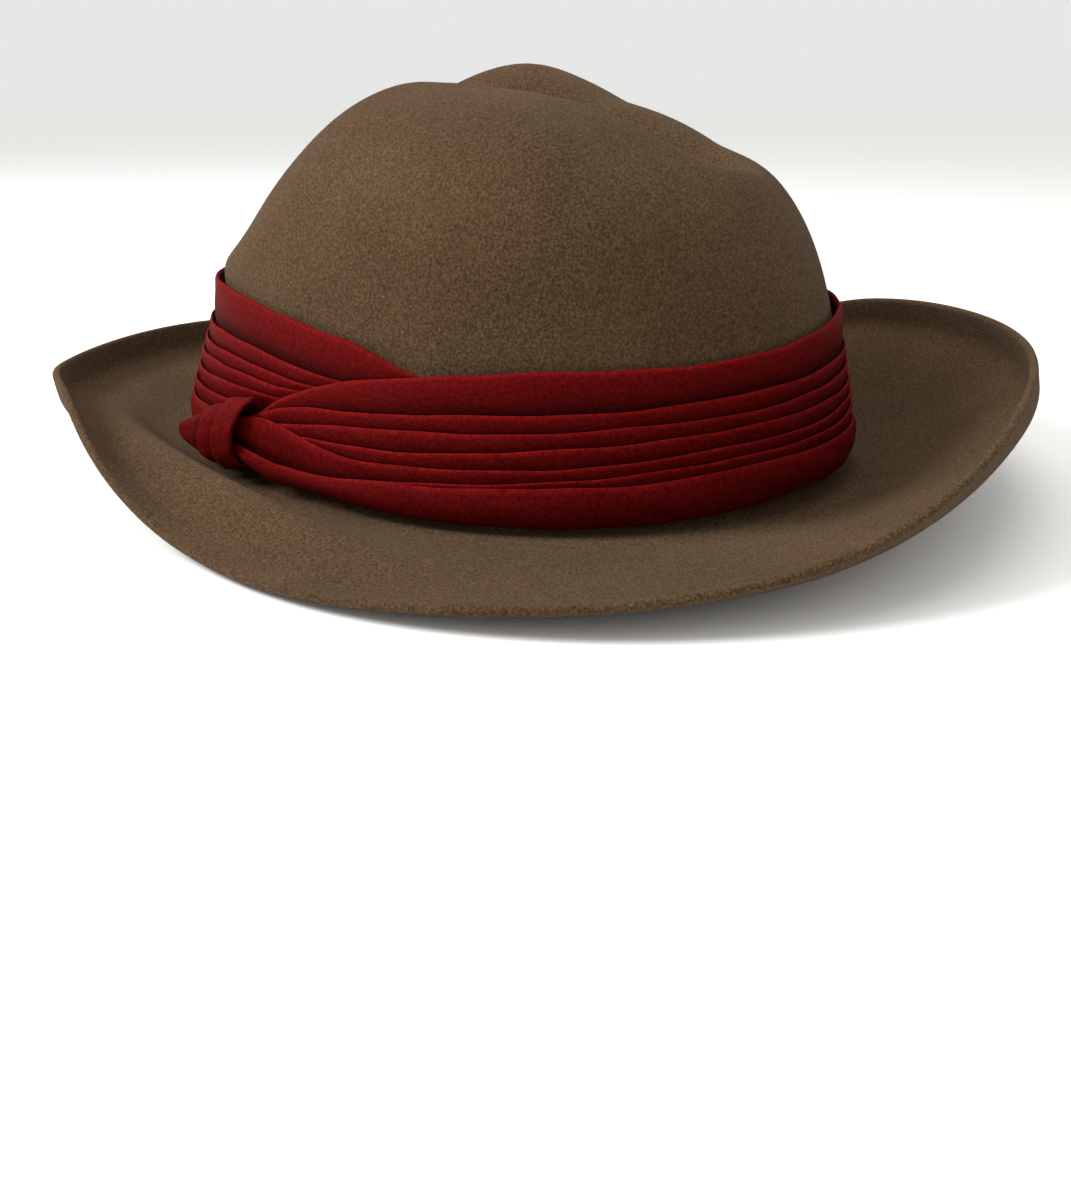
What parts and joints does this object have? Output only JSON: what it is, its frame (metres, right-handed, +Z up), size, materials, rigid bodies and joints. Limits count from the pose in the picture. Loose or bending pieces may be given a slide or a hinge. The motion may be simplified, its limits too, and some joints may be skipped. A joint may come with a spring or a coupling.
{
  "type": "fedora hat",
  "caption": "Wool felt fedora with an asymmetric snap brim, a pinched and dented crown, and a pleated cloth band that ends in a knot.",
  "frame": {"origin": "on the plane the hat lies on, under the middle of its outline", "axes": "+Z up through the crown; -Y to the front of the hat, so +Y to the back; +X to the wearer's left, the side with the knot"},
  "size_m": [0.2922, 0.3222, 0.1171],
  "materials": {
    "wool_felt": "matt brown wool felt",
    "sweatband_leather": "smooth brown leather",
    "reed_plastic": "matt natural plastic",
    "stay_ribbon": "dark red woven ribbon",
    "label_cloth": "off-white woven label, blank",
    "lining_satin": "brown satin",
    "burgundy_crepe": "matt dark red crepe",
    "burgundy_thread": "dark red sewing thread"
  },
  "bodies": {
    "root": {"felt_body": "wool_felt", "sweatband": "sweatband_leather", "sweatband_reed": "reed_plastic", "sweatband_bow": "stay_ribbon", "size_label": "label_cloth", "lining_sides": "lining_satin", "lining_tip": "lining_satin", "band_stay": "stay_ribbon", "pleated_band": "burgundy_crepe", "knot_wrap": "burgundy_crepe", "knot_tail": "burgundy_crepe", "band_tack_1": "burgundy_thread", "band_tack_2": "burgundy_thread", "band_tack_3": "burgundy_thread", "band_tack_4": "burgundy_thread", "band_tack_5": "burgundy_thread", "band_tack_6": "burgundy_thread", "band_tack_7": "burgundy_thread", "band_tack_8": "burgundy_thread"}
  },
  "joints": []
}
